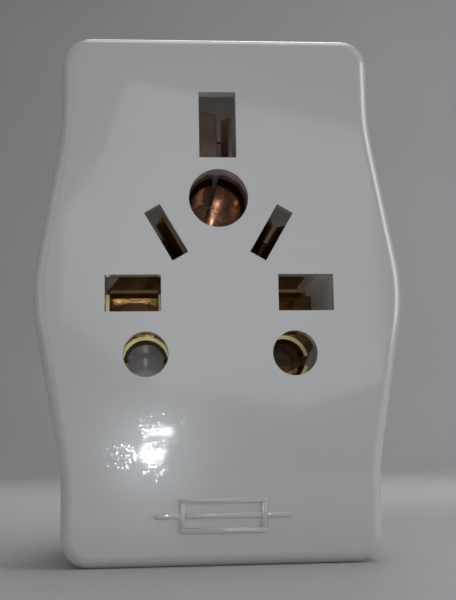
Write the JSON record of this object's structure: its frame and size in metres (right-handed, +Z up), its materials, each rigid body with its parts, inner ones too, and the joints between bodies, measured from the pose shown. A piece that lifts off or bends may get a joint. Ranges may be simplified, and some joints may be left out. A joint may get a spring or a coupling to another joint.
{
  "type": "multi socket adapter",
  "caption": "Plug-in mains socket adapter: white bulged housing, square-pin plug behind, universal apertures for square, round and flat pins in front, pull-out fuse carrier.",
  "frame": {"origin": "on the flat plug face behind, midway between the line and neutral pins", "axes": "+Z up with the earth pin on top, +Y out of the plug face along the pins, +X to the right seen from the socket side"},
  "size_m": [0.0476, 0.0567, 0.0684],
  "materials": {
    "white_housing": "glossy white moulding, slightly cool",
    "white_cover": "glossy white moulding",
    "pin_metal": "polished solid brass",
    "black_sleeve": "satin black insulation",
    "earth_brass": "bright strip with a tarnished tint",
    "phosphor_bronze": "polished copper-coloured bronze",
    "contact_brass": "polished rolled strip",
    "inner_moulding": "plain light grey moulding",
    "insulation": "plain dark board",
    "clip_metal": "springy rolled strip",
    "carrier_plastic": "glossy white moulding",
    "fuse_ceramic": "unglazed off-white tube",
    "fuse_caps": "plated pressed caps",
    "screw_steel": "zinc-plated screw"
  },
  "bodies": {
    "housing": {"front_housing": "white_housing", "rear_cover": "white_cover", "earth_pin": "pin_metal", "line_pin": "pin_metal", "neutral_pin": "pin_metal", "line_pin_sleeve": "black_sleeve", "neutral_pin_sleeve": "black_sleeve", "earth_contact": "earth_brass", "earth_round_clip": "phosphor_bronze", "line_contact": "contact_brass", "neutral_contact": "contact_brass", "contact_retainer": "inner_moulding", "insulating_plate": "insulation", "line_pin_strap": "contact_brass", "fuse_clip_right": "clip_metal", "fuse_clip_left": "clip_metal", "housing_screw_1": "screw_steel", "housing_screw_2": "screw_steel", "housing_screw_3": "screw_steel", "housing_screw_4": "screw_steel"},
    "carrier": {"fuse_carrier": "carrier_plastic", "fuse_tube": "fuse_ceramic", "fuse_cap_right": "fuse_caps", "fuse_cap_left": "fuse_caps"}
  },
  "joints": [
    {"name": "fuse_carrier_slide", "type": "slide", "parent": "housing", "child": "carrier", "axis": [0, 1, 0], "range_m": [0, 0.012]}
  ]
}
